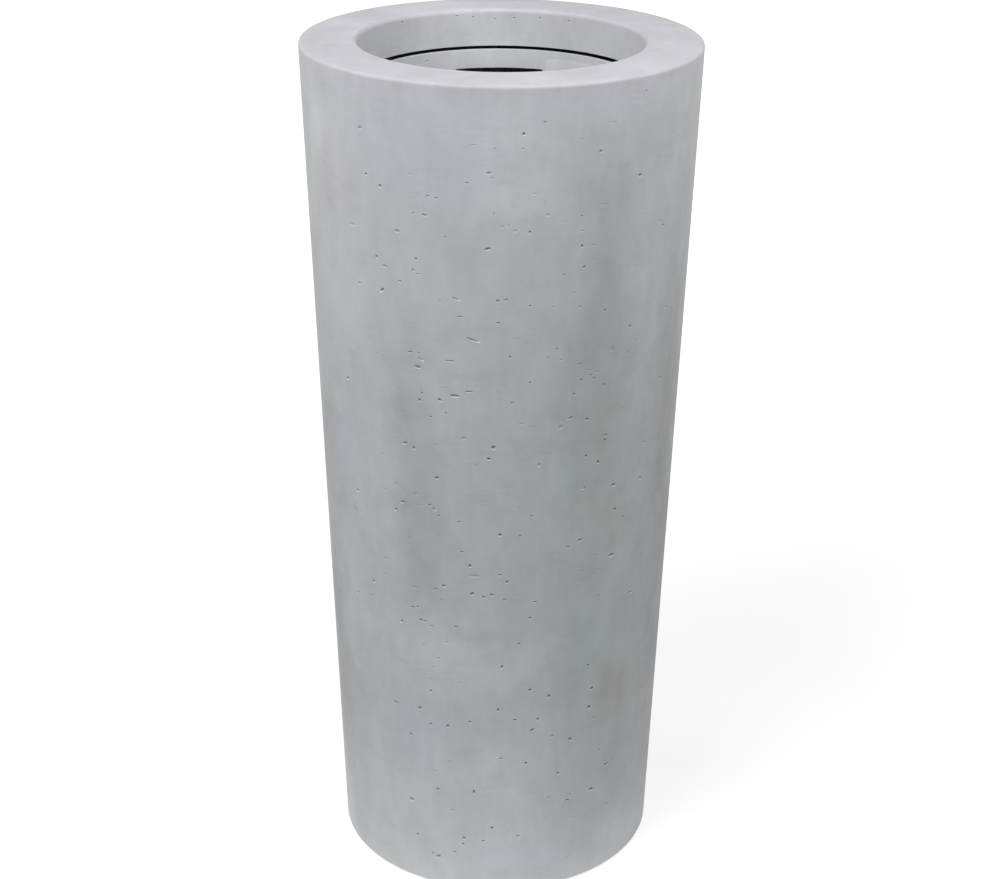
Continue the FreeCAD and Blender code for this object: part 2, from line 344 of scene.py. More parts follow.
# From this share of its lesser size on, a pit's painted shade is full.
FULL_SHADE_DEPTH = 0.4
KEEP_OUT = 1.5
PATCH_KEEP_OUT = 1.06
MARKED_CLEARANCE = 1.4
STREWN_CLEARANCE = 1.6

# The share of a pit's painted shade that is taken off its lower side, which the light from above reaches, and
# a patch's paleness and corners.
LIT_LOW_SIDE_SHARE = 0.6
PATCH_PALENESS = 0.18
PATCH_SQUARENESS = 0.25

# A pit has more points from each of these reaches on. Two waves make its outline ragged.
PIT_SIDES = ((2.2 * MM, 20), (0.9 * MM, 14), (0.0, 10))
RAGGED_WAVES = ((2, 0.11), (3, 0.07))

# A pit near the outline's edge in the photograph is not made wider than this facing allows.
LEAST_FACING = 0.5

# Strewn pits: their share of the way round, their least width, how fast wide ones get rare, their height
# as a share of their width, the spread of their tilt in degrees, and their depths.
STREWN_ROUND = (0.02, 0.98)
STREWN_WIDTH = 1.1 * MM
STREWN_RARENESS = 2.0
STREWN_FLATNESS = (0.4, 0.95)
STREWN_TILT = 18
STREWN_DEPTHS = (0.14, 0.3, 0.55)


class Pit:
    """A small open pore: its place on a profile, its sizes, its tilt in degrees and its depth.

    Its up is 1 where the profile runs upward and -1 where it runs down. Its painted shade is full from some
    depth on.
    """

    def __init__(self, azimuth, along, width, height, tilt, depth, up=1):
        self.azimuth, self.along = azimuth, along
        self.half_width, self.half_height = width / 2, height / 2
        self.tilt = math.radians(tilt)
        self.depth = depth
        self.painted_shade = min(1.0, depth / min(width, height) / FULL_SHADE_DEPTH)
        self.up = up
        self.reach = max(width, height) / 2
        self.phases = [random_source.uniform(0, math.tau) for _ in RAGGED_WAVES]

    def rings(self):
        """The pore's rings as (share of its half size, share of its depth, number of points)."""
        sides = next(count for reach, count in PIT_SIDES if self.reach >= reach)
        return ((0.0, 1.0, 1), (0.45, 0.92, sides // 2), (0.80, 0.66, sides),
                (1.0, 0.0, sides), (1.2, 0.0, sides))

    def keep_out(self):
        """How far across and along the surface's own rows keep clear of the pore."""
        return KEEP_OUT * self.reach, KEEP_OUT * self.reach

    def outline(self, share, count):
        """Points of one ring, as offsets across and along the surface. A ring outside the pore is smooth."""
        for i in range(count):
            angle = math.tau * i / count
            scale = share
            if share <= 1.0:
                scale *= 1 + sum(size * math.sin(waves * angle + phase)
                                 for (waves, size), phase in zip(RAGGED_WAVES, self.phases))
            yield self.turned(scale * self.half_width * math.cos(angle),
                              scale * self.half_height * math.sin(angle))

    def turned(self, across, rise):
        """An offset from the pit's centre, turned by its tilt."""
        return (across * math.cos(self.tilt) - rise * math.sin(self.tilt),
                across * math.sin(self.tilt) + rise * math.cos(self.tilt))

    def shade(self, share, rise):
        """How dark the painted shade in the pore makes a point, lighter on its lower side where light from
        above falls, or, below zero, how bright the painted highlight on its lower lip is.
        """
        low_side = max(0.0, -self.up * rise / self.half_height)
        if share < 1.0:
            return self.painted_shade * (1.0 - LIT_LOW_SIDE_SHARE * low_side)
        return -self.painted_shade * low_side if share == 1.0 else 0.0


class Patch(Pit):
    """A thin raised patch of finish with straight sides and rounded corners."""

    def rings(self):
        return ((0.0, 1.0, 1), (0.3, 1.0, 8), (0.6, 1.0, 16), (0.85, 1.0, 32),
                (0.97, 1.0, 48), (1.0, 0.0, 48), (1.03, 0.0, 48))

    def keep_out(self):
        return PATCH_KEEP_OUT * self.half_width, PATCH_KEEP_OUT * self.half_height

    def outline(self, share, count):
        def squared(value):
            return math.copysign(abs(value) ** PATCH_SQUARENESS, value)

        for i in range(count):
            angle = math.tau * i / count
            yield self.turned(share * self.half_width * squared(math.cos(angle)),
                              share * self.half_height * squared(math.sin(angle)))

    def shade(self, share, rise):
        return -PATCH_PALENESS if share < 1.0 else 0.0


def is_clear(profile, pit, others, clearance):
    """Whether a pit keeps clear of the other pits."""
    radius = profile.radius(pit.along)
    for other in others:
        apart = math.hypot((pit.azimuth - other.azimuth) * radius, pit.along - other.along)
        if apart < clearance * (pit.reach + other.reach):
            return False
    return True


def scattered_pits(profile, seam, first, last, taken, count, widest):
    """Pits strewn at random between two distances along a profile, clear of those already there."""
    pits = []
    while len(pits) < count:
        along = random_source.uniform(first, last)
        azimuth = seam + random_source.uniform(*STREWN_ROUND) * math.tau
        width = min(widest, STREWN_WIDTH * random_source.paretovariate(STREWN_RARENESS))
        height = width * random_source.uniform(*STREWN_FLATNESS)
        tilt = random_source.gauss(0, STREWN_TILT)
        depth = height * random_source.choice(STREWN_DEPTHS)
        pit = Pit(azimuth, along, width, height, tilt, depth)
        if is_clear(profile, pit, taken + pits, STREWN_CLEARANCE):
            pits.append(pit)
    return pits


def pit_at_pixel(profile, mark, deepest, radius_at, far):
    """A pit from its place and size in the photograph, on the near or far side of a tapered wall."""
    pixel_x, pixel_y, width, height, *tilt = mark
    place = place_at_pixel(pixel_x, pixel_y, radius_at, far)
    sight = place - CAMERA_PLACE
    pixel_size = sight.dot(camera_axes()[2]) / FOCAL_PIXELS
    outward = Vector((place.x, place.y, 0.0)).normalized()
    facing = max(LEAST_FACING, abs(outward.dot(Vector((sight.x, sight.y, 0.0)).normalized())))
    steepness = math.hypot(sight.x, sight.y) / sight.length
    size = (width * pixel_size / facing, height * pixel_size / steepness)
    azimuth = math.atan2(place.x, place.y) % math.tau
    along = profile.along_at_height(place.z, rising=not far)
    return Pit(azimuth, along, *size, tilt[0] if tilt else 0, deepest * min(size), up=-1 if far else 1)


def pits_at_pixels(profile, marks, deepest, radius_at, far=False, taken=()):
    """The pits of a list read from the photograph, without those that would run into another."""
    pits = list(taken)
    for mark in marks:
        pit = pit_at_pixel(profile, mark, deepest, radius_at, far)
        if is_clear(profile, pit, pits, MARKED_CLEARANCE):
            pits.append(pit)
    return pits


# ---- surfaces with pits and slots

def no_hole(_azimuth, _along, _margin):
    """Whether a place is in a hole, for a surface without holes."""
    return False


class UnrolledSurface:
    """The points of a turned surface, unrolled flat from a seam, with the edges that its faces must keep."""

    def __init__(self, profile, seam):
        self.profile, self.seam = profile, seam
        self.flat, self.depths, self.shades, self.edges = [], [], [], []

    def add(self, azimuth, along, depth=0.0, shade=0.0):
        """One point, at an azimuth and a distance along the profile."""
        self.flat.append((azimuth, along))
        self.depths.append(depth)
        self.shades.append(shade)

    def keep_ring(self, count):
        """Keep the edges round the next points, from each to the one after it."""
        first = len(self.flat)
        self.edges += [(first + i, first + (i + 1) % count) for i in range(count)]

    def add_outline(self, outline):
        """The outline of a hole. Returns the numbers of its points."""
        numbers = range(len(self.flat), len(self.flat) + len(outline))
        self.keep_ring(len(outline))
        for azimuth, along in outline:
            self.add(azimuth, along)
        return numbers

    def add_pit(self, pit):
        """The rings of a pit."""
        radius = self.profile.radius(pit.along)
        for share, sunk, count in pit.rings():
            if count > 1:
                self.keep_ring(count)
            for across, rise in pit.outline(share, count):
                azimuth = pit.azimuth + across / radius
                self.add(azimuth, pit.along + rise, sunk * pit.depth, pit.shade(share, rise))

    def add_rows(self, pits, in_hole):
        """The rows of the profile, without the points that are in a pit or a hole or close to one."""
        busy = np.array([(pit.azimuth, pit.along, *pit.keep_out()) for pit in pits])
        last_row = len(self.profile.lengths) - 1
        for row, along in enumerate(self.profile.lengths):
            for column in range(COLUMNS + 1):
                azimuth = self.seam + math.tau * column / COLUMNS
                if 0 < row < last_row and 0 < column < COLUMNS:
                    across = np.abs((busy[:, 0] - azimuth) * self.profile.radii[row]) < busy[:, 2]
                    beside = across & (np.abs(busy[:, 1] - along) < busy[:, 3])
                    if beside.any() or in_hole(azimuth, along, HOLE_MARGIN):
                        continue
                self.add(azimuth, along)

    def skin(self, mesh, in_hole):
        """Join the points into triangles and roll them up again. Returns the corner made for each point."""
        pit_layer = mesh.verts.layers.float["pit"]
        unrolled = [Vector((azimuth * UNROLL_RADIUS, along)) for azimuth, along in self.flat]
        places, _, triangles, origins, _, _ = geometry.delaunay_2d_cdt(
            unrolled, self.edges, [], 0, SAME_POINT)
        corners, corner_of = [], {}
        for place, origin in zip(places, origins):
            depth = self.depths[origin[0]] if origin else 0.0
            corner = mesh.verts.new(self.profile.place(place.x / UNROLL_RADIUS, place.y, depth))
            corner[pit_layer] = self.shades[origin[0]] if origin else 0.0
            corners.append(corner)
            corner_of.update(dict.fromkeys(origin, corner))
        for triangle in triangles:
            azimuth = sum(places[i].x for i in triangle) / (3 * UNROLL_RADIUS)
            along = sum(places[i].y for i in triangle) / 3
            if not in_hole(azimuth, along, 0.0):
                mesh.faces.new([corners[i] for i in triangle])
        return corner_of


def unrolled_surface(mesh, profile, seam, pits, outlines=(), in_hole=no_hole):
    """Skin a turned surface that has pits and holes. Returns the ring of corners round each hole."""
    surface = UnrolledSurface(profile, seam)
    holes = [surface.add_outline(outline) for outline in outlines]
    for pit in pits:
        surface.add_pit(pit)
    surface.add_rows(pits, in_hole)
    corner_of = surface.skin(mesh, in_hole)
    return [[corner_of[number] for number in hole] for hole in holes]


def new_mesh():
    """An empty mesh whose corners carry the share of pit shading."""
    mesh = bmesh.new()
    mesh.verts.layers.float.new("pit")
    return mesh


def finished_piece(mesh, name, materials):
    """Close the seams of a mesh, turn its faces outward and make a smooth object of it."""
    bmesh.ops.remove_doubles(mesh, verts=mesh.verts, dist=WELD)
    bmesh.ops.recalc_face_normals(mesh, faces=mesh.faces)
    for face in mesh.faces:
        face.smooth = True
    data = bpy.data.meshes.new(name)
    mesh.to_mesh(data)
    mesh.free()
    for material in materials:
        data.materials.append(material)
    piece = bpy.data.objects.new(name, data)
    bpy.context.scene.collection.objects.link(piece)
    return piece


# ---- the shell

# Open pits read from the photograph: x, y, width and height in pixels, and the tilt in degrees,
# positive where the pit runs down to the right.
WALL_PITS = (
    (366, 174, 3, 3), (380, 186, 3, 4), (428, 196, 4, 2), (436, 198, 3, 2), (413, 213, 2, 2),
    (424, 215, 5, 2.5), (397, 231, 5, 3), (377, 257, 3, 4, -45), (416, 259, 3, 3), (524, 134, 4, 3),
    (545, 122, 4, 2), (489, 173, 5, 2.5), (493, 178, 3, 1.5), (467, 183, 4, 2), (530, 232, 3, 2.5),
    (445, 237, 2.5, 1.5), (488, 249, 7, 3, -10), (601, 151, 3, 3), (640, 175, 3, 3), (582, 216, 3, 2),
    (663, 225, 2.5, 2.5), (661, 221, 2, 1.5), (582, 246, 3, 3), (385, 266, 6, 2), (413, 270, 2.5, 3),
    (418, 274, 4, 1.5), (360, 283, 2.5, 2.5), (382, 290, 5, 3, -50), (456, 299, 9, 2, 20), (460, 317, 6, 1.8),
    (410, 352, 5, 2, -20), (419, 353, 2, 2), (421, 359, 6, 2, 35), (418, 367, 6, 3.4), (450, 361, 11, 1.8),
    (348, 378, 3, 3), (422, 393, 2, 3), (420, 400, 3.5, 3), (440, 400, 4, 3), (455, 396, 9, 3),
    (498, 301, 4, 2.5), (506, 300, 4, 2, -15), (530, 306, 2.5, 2.5), (498, 323, 4.5, 2, -20),
    (473, 340, 14, 2.4, 17), (510, 357, 3, 2.2), (557, 349, 3, 2), (530, 383, 3, 2), (574, 394, 2.5, 2.5),
    (469, 392, 8, 2), (584, 267, 3, 2.5), (605, 310, 3, 2), (630, 326, 2.5, 3), (581, 380, 2.5, 2),
    (594, 378, 2.5, 2), (591, 375, 2, 2), (660, 378, 3, 2.5), (446, 413, 2, 2), (431, 417, 4, 2),
    (405, 443, 6, 2.5, -20), (414, 448, 3, 3), (464, 438, 4, 2), (489, 459, 3.5, 3), (437, 478, 4, 3),
    (358, 490, 2.5, 2.5), (403, 502, 6, 2.5, -20), (396, 509, 3.5, 2.5, -30), (430, 505, 3, 2.5),
    (434, 509, 4, 2.5, 30), (439, 516, 4, 2), (459, 522, 3, 2), (500, 535, 4, 3), (512, 403, 3, 2),
    (570, 418, 6, 2, -20), (587, 419, 3.5, 2.5), (606, 435, 2.5, 2.5), (605, 440, 2.5, 2.5),
    (644, 442, 3.5, 2), (586, 456, 3, 3), (598, 462, 3, 3), (640, 478, 2, 4), (584, 488, 4, 2, -30),
    (615, 509, 4, 2, 45), (623, 517, 2, 2), (532, 516, 3, 2), (520, 536, 2, 2), (580, 540, 3.5, 3),
    (568, 547, 4.5, 2, 10), (611, 555, 5, 3), (386, 558, 4, 1.5), (374, 581, 3, 3), (470, 566, 4, 3),
    (500, 575, 3, 2), (462, 552, 4, 2), (436, 589, 4, 2.5), (444, 586, 5, 2.5), (472, 594, 5, 3, -40),
    (484, 597, 4, 2.5), (492, 595, 4.5, 2.5), (413, 607, 3.5, 2), (418, 607, 2.5, 2),
    (402, 621, 5, 2, -45), (421, 620, 4, 2.5), (426, 621, 3, 2), (432, 626, 4, 1.5), (456, 627, 5, 1.8, -20),
    (438, 658, 3, 1.5), (431, 691, 3, 2.5), (396, 702, 4.5, 2.5), (420, 708, 3.5, 3.5),
    (498, 710, 3, 3), (507, 582, 4, 2.5, -30), (535, 602, 4, 2), (530, 618, 3, 2.5), (630, 592, 5, 2.5),
    (519, 644, 3, 2), (502, 667, 2.5, 4), (588, 665, 2.5, 2.5), (592, 688, 3, 3), (530, 690, 3.5, 2.5),
    (549, 696, 3.5, 3), (589, 707, 3, 4), (431, 724, 3.5, 2.5), (448, 726, 4, 3), (411, 734, 3, 2.5),
    (470, 722, 3, 2.5), (438, 789, 3.5, 2.5), (474, 792, 3, 4.5), (412, 799, 4, 3.5),
    (492, 828, 3.5, 2.5), (418, 834, 3, 2.5), (464, 838, 4, 2.5), (463, 844, 2.5, 2.5),
    (483, 841, 3.5, 2), (433, 853, 3, 2), (439, 856, 5, 2.5, -20), (515, 720, 4, 2), (538, 719, 3, 2.5),
    (532, 730, 4.5, 2.5, -15), (552, 736, 3.5, 2, -40), (570, 739, 4, 3), (526, 763, 3, 2.5),
    (558, 773, 3, 2.5), (606, 764, 5, 2.5), (591, 789, 4, 3), (570, 794, 2.5, 1.5), (567, 800, 4, 2),
    (518, 836, 4.5, 2),
)

# Faint, shallow marks of the same kind: x, y, width and height in pixels.
WALL_SMUDGES = (
    (352, 224, 8, 3), (353, 238, 7, 2), (410, 174, 3, 3),
    (413, 193, 3, 2), (473, 145, 7, 2), (523, 149, 3, 3),
    (495, 149, 3, 3), (535, 194, 5, 2), (548, 215, 4, 3),
    (494, 214, 2, 6), (502, 227, 3, 3), (509, 226, 3, 3),
    (515, 231, 5, 3), (565, 222, 3, 2), (678, 136, 5, 2),
    (614, 122, 8, 2), (605, 204, 5, 2), (646, 214, 5, 2),
    (582, 231, 5, 2), (594, 245, 6, 2), (582, 139, 9, 2),
    (575, 145, 9, 2), (440, 287, 4, 1.5), (413, 324, 9, 1.5),
    (377, 354, 5, 2), (418, 345, 5, 1), (400, 389, 5, 2),
    (444, 388, 8, 1.5), (548, 358, 5, 2), (498, 392, 2, 4),
    (553, 307, 4, 2), (574, 293, 6, 1.5), (561, 360, 5, 2),
    (517, 339, 10, 1.5), (580, 307, 3, 4), (612, 349, 3, 5),
    (597, 372, 5, 2), (604, 385, 4, 4), (580, 364, 7, 2),
    (398, 433, 6, 1.5), (435, 445, 5, 2), (477, 465, 3, 2.5),
    (396, 484, 3, 4), (385, 489, 5, 2), (416, 494, 3, 3),
    (421, 505, 6, 1.5), (409, 538, 5, 2), (354, 478, 4, 1.5),
    (561, 427, 5, 4), (521, 424, 7, 1.5), (531, 427, 8, 1.5), (539, 465, 4, 4), (542, 452, 4, 1.5),
    (518, 508, 4, 1.5), (506, 536, 5, 1.5), (385, 574, 4, 2),
    (371, 595, 6, 2), (414, 587, 8, 3), (474, 576, 12, 3),
    (424, 645, 3, 3), (434, 667, 3.5, 2), (431, 679, 8, 1.5), (449, 679, 5, 1.5), (459, 683, 4, 2),
    (384, 689, 3.5, 2.5), (594, 555, 6, 1.5), (582, 571, 4, 2), (593, 574, 5, 2), (598, 596, 4.5, 2.5),
    (514, 639, 6, 1.2), (436, 771, 6, 2), (449, 762, 3, 2.5), (458, 783, 9, 1.5), (453, 810, 4, 2.5),
    (487, 797, 9, 1.2), (495, 818, 7, 1.2), (394, 826, 6, 1.5), (629, 738, 5, 2), (613, 759, 3, 3),
    (599, 750, 2.5, 3.5), (574, 817, 5, 1.5), (567, 857, 5, 2),
)

# Pits on the collar's far side, in the same terms.
COLLAR_PITS = (
    (402, 22, 3, 2), (457, 16, 3, 2), (473, 17, 2.5, 2), (495, 19, 3, 1.5), (514, 18, 3, 2),
    (540, 18, 2.5, 2), (569, 21, 3, 2), (586, 46, 2.5, 2.5),
)

# The number and greatest width of the pits strewn on the wall and on the rim, and how far these keep from
# the foot, from the top and from the rim's edges.
STREWN_ON_WALL = (330, 5.0 * MM)
STREWN_ON_RIM = (14, 1.6 * MM)
CLEAR_OF_FOOT = 8 * MM
CLEAR_OF_TOP = 12 * MM
CLEAR_OF_EDGE = 20 * MM
EDGE_DROP = 1 * MM


def shell_pits(profile):
    """The pits that the photograph shows on the wall and collar, and more of their kind all round."""
    pits = pits_at_pixels(profile, WALL_PITS, OPEN_DEPTH, wall_radius)
    pits = pits_at_pixels(profile, WALL_SMUDGES, FAINT_DEPTH, wall_radius, taken=pits)
    pits = pits_at_pixels(profile, COLLAR_PITS, COLLAR_DEPTH, collar_radius, far=True, taken=pits)
    low = profile.along_at_height(SHELL["foot"] + CLEAR_OF_FOOT)
    high = profile.along_at_height(SHELL["top"] - CLEAR_OF_TOP)
    rim_outside = profile.along_at_height(SHELL["top"] - EDGE_DROP) + CLEAR_OF_EDGE
    rim_inside = rim_outside + wall_radius(SHELL["top"]) - SHELL["mouth"] - 2 * CLEAR_OF_EDGE
    pits += scattered_pits(profile, 0.0, low, high, pits, *STREWN_ON_WALL)
    return pits + scattered_pits(profile, 0.0, rim_outside, rim_inside, pits, *STREWN_ON_RIM)


def make_shell(cement, laminate):
    """The tapered wall with its turned-in rim and collar, in one closed skin."""
    def inside_radius(height):
        return wall_radius(height) - SHELL["wall"]

    back_split = (SHELL["collar_back"], SHELL["collar"] + BACK_SPLIT_RISE)
    outside = Profile([
        (SHELL["inside_foot"], SHELL["foot"]),
        (SHELL["foot_radius"], SHELL["foot"], FOOT_ROUND),
        (wall_radius(SHELL["top"]), SHELL["top"], RIM_OUTER_ROUND),
        (SHELL["mouth"], SHELL["top"], RIM_INNER_ROUND),
        (SHELL["mouth"], SHELL["collar"], LIP_ROUND),
        (SHELL["collar_back"], SHELL["collar"], TRIMMED_ROUND),
        back_split,
    ])
    hidden = Profile([
        back_split,
        (SHELL["collar_back"], SHELL["underside"], SHELL_FILLER),
        (inside_radius(SHELL["underside"]), SHELL["underside"], SHELL_FILLER),
        (SHELL["inside_foot"], SHELL["foot"]),
    ])
    mesh = new_mesh()
    unrolled_surface(mesh, outside, 0.0, shell_pits(outside))
    for face in turned_rows(mesh, hidden):
        face.material_index = 1
    piece = finished_piece(mesh, "shell_visual", (cement, laminate))
    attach(piece, "planter")
    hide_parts("shell")


# ---- the planting insert

def slot_outline(offset):
    """Points (across, up from the slot's middle) round a hand slot, moved outward by an offset."""
    half_width, half_height = SLOT_WIDTH / 2, SLOT_HEIGHT / 2
    flat_width, flat_height = half_width - SLOT_ROUND, half_height - SLOT_ROUND
    bend = SLOT_ROUND + offset
    points = []
    for quarter, (sign_x, sign_z) in enumerate(((1, 1), (-1, 1), (-1, -1), (1, -1))):
        for step in range(CORNER_STEPS + 1):
            angle = (quarter + step / CORNER_STEPS) * math.pi / 2
            points.append((sign_x * flat_width + bend * math.cos(angle),
                           sign_z * flat_height + bend * math.sin(angle)))
        length = 2 * (flat_height if quarter % 2 else flat_width)
        count = math.ceil(length / SLOT_STEP)
        sign = 1 if quarter in (2, 3) else -1
        last = points[-1]
        for step in range(1, count):
            shift = sign * length * step / count
            points.append((last[0], last[1] + shift) if quarter % 2 else (last[0] + shift, last[1]))
    return points


def slot_corner(across, height, radius, side, depth=0.0):
    """A point of a hand slot at a radius, moved straight out by a depth, on the back (+1) or front (-1)."""
    away = math.sqrt(radius ** 2 - across ** 2) + depth
    return Matrix.Rotation(INSERT_TURN, 3, "Z") @ Vector((across, side * away, height))


def slot_on_profile(profile, side, rising, seam):
    """A hand slot's outline on the outside or inside of the insert, as azimuths and distances along."""
    outline = []
    for across, rise in slot_outline(SLOT_EDGE_ROUND):
        along = profile.along_at_height(SLOT_CENTRE + rise, rising)
        corner = slot_corner(across, SLOT_CENTRE + rise, profile.radius(along), side)
        azimuth = seam + (math.atan2(corner.x, corner.y) - seam) % math.tau
        outline.append((azimuth, along))
    return outline


def in_slot(profile, azimuth, along, margin):
    """Whether a place on the insert's wall is inside a hand slot grown by a margin."""
    across = abs(profile.radius(along) * math.sin(azimuth + INSERT_TURN))
    rise = abs(profile.height(along) - SLOT_CENTRE)
    reach_x = across - SLOT_WIDTH / 2 + SLOT_ROUND
    reach_z = rise - SLOT_HEIGHT / 2 + SLOT_ROUND
    outside = math.hypot(max(reach_x, 0.0), max(reach_z, 0.0)) + min(max(reach_x, reach_z), 0.0)
    return outside < SLOT_ROUND + SLOT_EDGE_ROUND + margin


def bridge_slot(mesh, inner_ring, outer_ring, side):
    """The walls of a hand slot between the insert's inside and outside, with rounded edges."""
    rings = [inner_ring]
    edges = ((INSERT["wall"], 1, SLOT_EDGE_ANGLES), (0.0, -1, SLOT_EDGE_ANGLES[::-1]))
    for wall_inset, sign, angles in edges:
        for angle in angles:
            offset = SLOT_EDGE_ROUND * (1 - math.sin(math.radians(angle)))
            depth = sign * SLOT_EDGE_ROUND * (1 - math.cos(math.radians(angle)))
            ring = []
            for across, rise in slot_outline(offset):
                height = SLOT_CENTRE + rise
                place = slot_corner(across, height, insert_radius(height) - wall_inset, side, depth)
                ring.append(mesh.verts.new(place))
            rings.append(ring)
    rings.append(outer_ring)
    for low, high in zip(rings, rings[1:]):
        for i in range(len(low)):
            j = (i + 1) % len(low)
            mesh.faces.new((low[i], low[j], high[j], high[i]))


# On the band of the insert that shows under the collar: a pit, and a raised patch beside the slot's end, as
# the pixels of its upper left corner, with its size in metres. Below them, the number and greatest width of
# the pits strewn on the band, and how far below the insert's top they begin and end.
BAND_PITS = ((427, 61, 3, 2),)
BAND_PATCH_CORNER = (546, 58)
BAND_PATCH_SIZE = (75 * MM, 44 * MM)
BAND_PATCH_RISE = 0.2 * MM
STREWN_ON_BAND = (16, 2.0 * MM)
BAND_SPAN = (5 * MM, 18 * MM)


def insert_marks(profile, seam):
    """The raised patch and the pits that the photograph shows on the insert's band, and a few more pits."""
    corner = place_at_pixel(*BAND_PATCH_CORNER, insert_inside_radius, far=True)
    width, height = BAND_PATCH_SIZE
    middle = math.atan2(corner.x, corner.y) + width / 2 / insert_inside_radius(corner.z)
    azimuth = seam + (middle - seam) % math.tau
    along = profile.along_at_height(corner.z, rising=False) + height / 2
    patch = Patch(azimuth, along, width, height, 0.0, -BAND_PATCH_RISE)
    pits = pits_at_pixels(profile, BAND_PITS, COLLAR_DEPTH, insert_inside_radius, far=True, taken=[patch])
    for pit in pits[1:]:
        pit.azimuth = seam + (pit.azimuth - seam) % math.tau
    first, last = (profile.along_at_height(INSERT["top"] - drop, rising=False) for drop in BAND_SPAN)
    return pits + scattered_pits(profile, seam, first, last, pits, *STREWN_ON_BAND)


def make_insert(cement):
    """The lift-out planting pot with its two hand slots, in one closed skin."""
    seam = math.pi / 2
    floor_inside = insert_radius(INSERT["floor"]) - INSERT["wall"]
    floor_split = (floor_inside - FLOOR_SPLIT_INSET, INSERT["floor"])
    walls = Profile([
        (INSERT["foot_inside"], INSERT["foot"]),
        (INSERT["foot_radius"], INSERT["foot"], TRIMMED_ROUND),
        (INSERT["top_radius"], INSERT["top"], TRIMMED_ROUND),
        (INSERT["top_radius"] - INSERT["wall"], INSERT["top"], LIP_ROUND),
        (floor_inside, INSERT["floor"], INSERT_FILLER),
        floor_split,
    ])
    floor = Profile([
        floor_split,
        (INSERT["drain"], INSERT["floor"], SHARP_ROUND),
        (INSERT["drain"], INSERT["underside"], SHARP_ROUND),
        (INSERT["foot_inside"], INSERT["underside"], TRIMMED_ROUND),
        (INSERT["foot_inside"], INSERT["foot"]),
    ])
    mesh = new_mesh()
    sides = [(rising, side) for rising in (False, True) for side in (1, -1)]
    outlines = [slot_on_profile(walls, side, rising, seam) for rising, side in sides]
    pits = insert_marks(walls, seam)
    rings = unrolled_surface(mesh, walls, seam, pits, outlines,
                             lambda azimuth, along, margin: in_slot(walls, azimuth, along, margin))
    bridge_slot(mesh, rings[0], rings[2], 1)
    bridge_slot(mesh, rings[1], rings[3], -1)
    turned_rows(mesh, floor)
    piece = finished_piece(mesh, "insert_visual", (cement,))
    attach(piece, "insert")
    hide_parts("planting_insert")


# ---- materials

class Nodes:
    """A node tree, and short ways of adding to it."""

    def __init__(self, tree):
        self.tree = tree

    def feed(self, socket, value):
        """Give an input a value, or the output of another node."""
        if isinstance(value, bpy.types.NodeSocket):
            self.tree.links.new(value, socket)
        elif socket.type == "RGBA":
            socket.default_value = (*value, 1.0)
        else:
            socket.default_value = value

    def add(self, kind, inputs=None, **settings):
        """A new node of a kind, with its settings, and with its inputs fed by name or by number."""
        node = self.tree.nodes.new("ShaderNode" + kind)
        for name, setting in settings.items():
            setattr(node, name, setting)
        for name, value in (inputs or {}).items():
            self.feed(node.inputs[name], value)
        return node

    def math(self, kind, first, second):
        """Two values combined by one operation."""
        return self.add("Math", {0: first, 1: second}, operation=kind).outputs["Value"]

    def vector_math(self, kind, first, second=(0.0, 0.0, 0.0)):
        """Two vectors combined by one operation, or the length of one."""
        node = self.add("VectorMath", {0: first, 1: second}, operation=kind)
        return node.outputs["Value" if kind == "LENGTH" else "Vector"]

    def ranged(self, value, low, high, to_low=0.0, to_high=1.0):
        """A value mapped from one range to another, and held within it."""
        inputs = {"Value": value, "From Min": low, "From Max": high, "To Min": to_low, "To Max": to_high}
        return self.add("MapRange", inputs).outputs["Result"]

    def weighed(self, *terms):
        """The sum of values that are each multiplied by a weight."""
        total = 0.0
        for value, weight in terms:
            total = self.math("ADD", total, self.math("MULTIPLY", value, weight))
        return total

    def seen_directly(self):
        """One for the rays that show the background itself: to the camera, in a gloss or through glass."""
        rays = self.add("LightPath").outputs
        seen = self.math("MAXIMUM", rays["Is Camera Ray"], rays["Is Glossy Ray"])
        return self.math("MAXIMUM", seen, rays["Is Transmission Ray"])


# The share of a soft zone's half size in which it has its full strength.
ZONE_CORE = 0.25


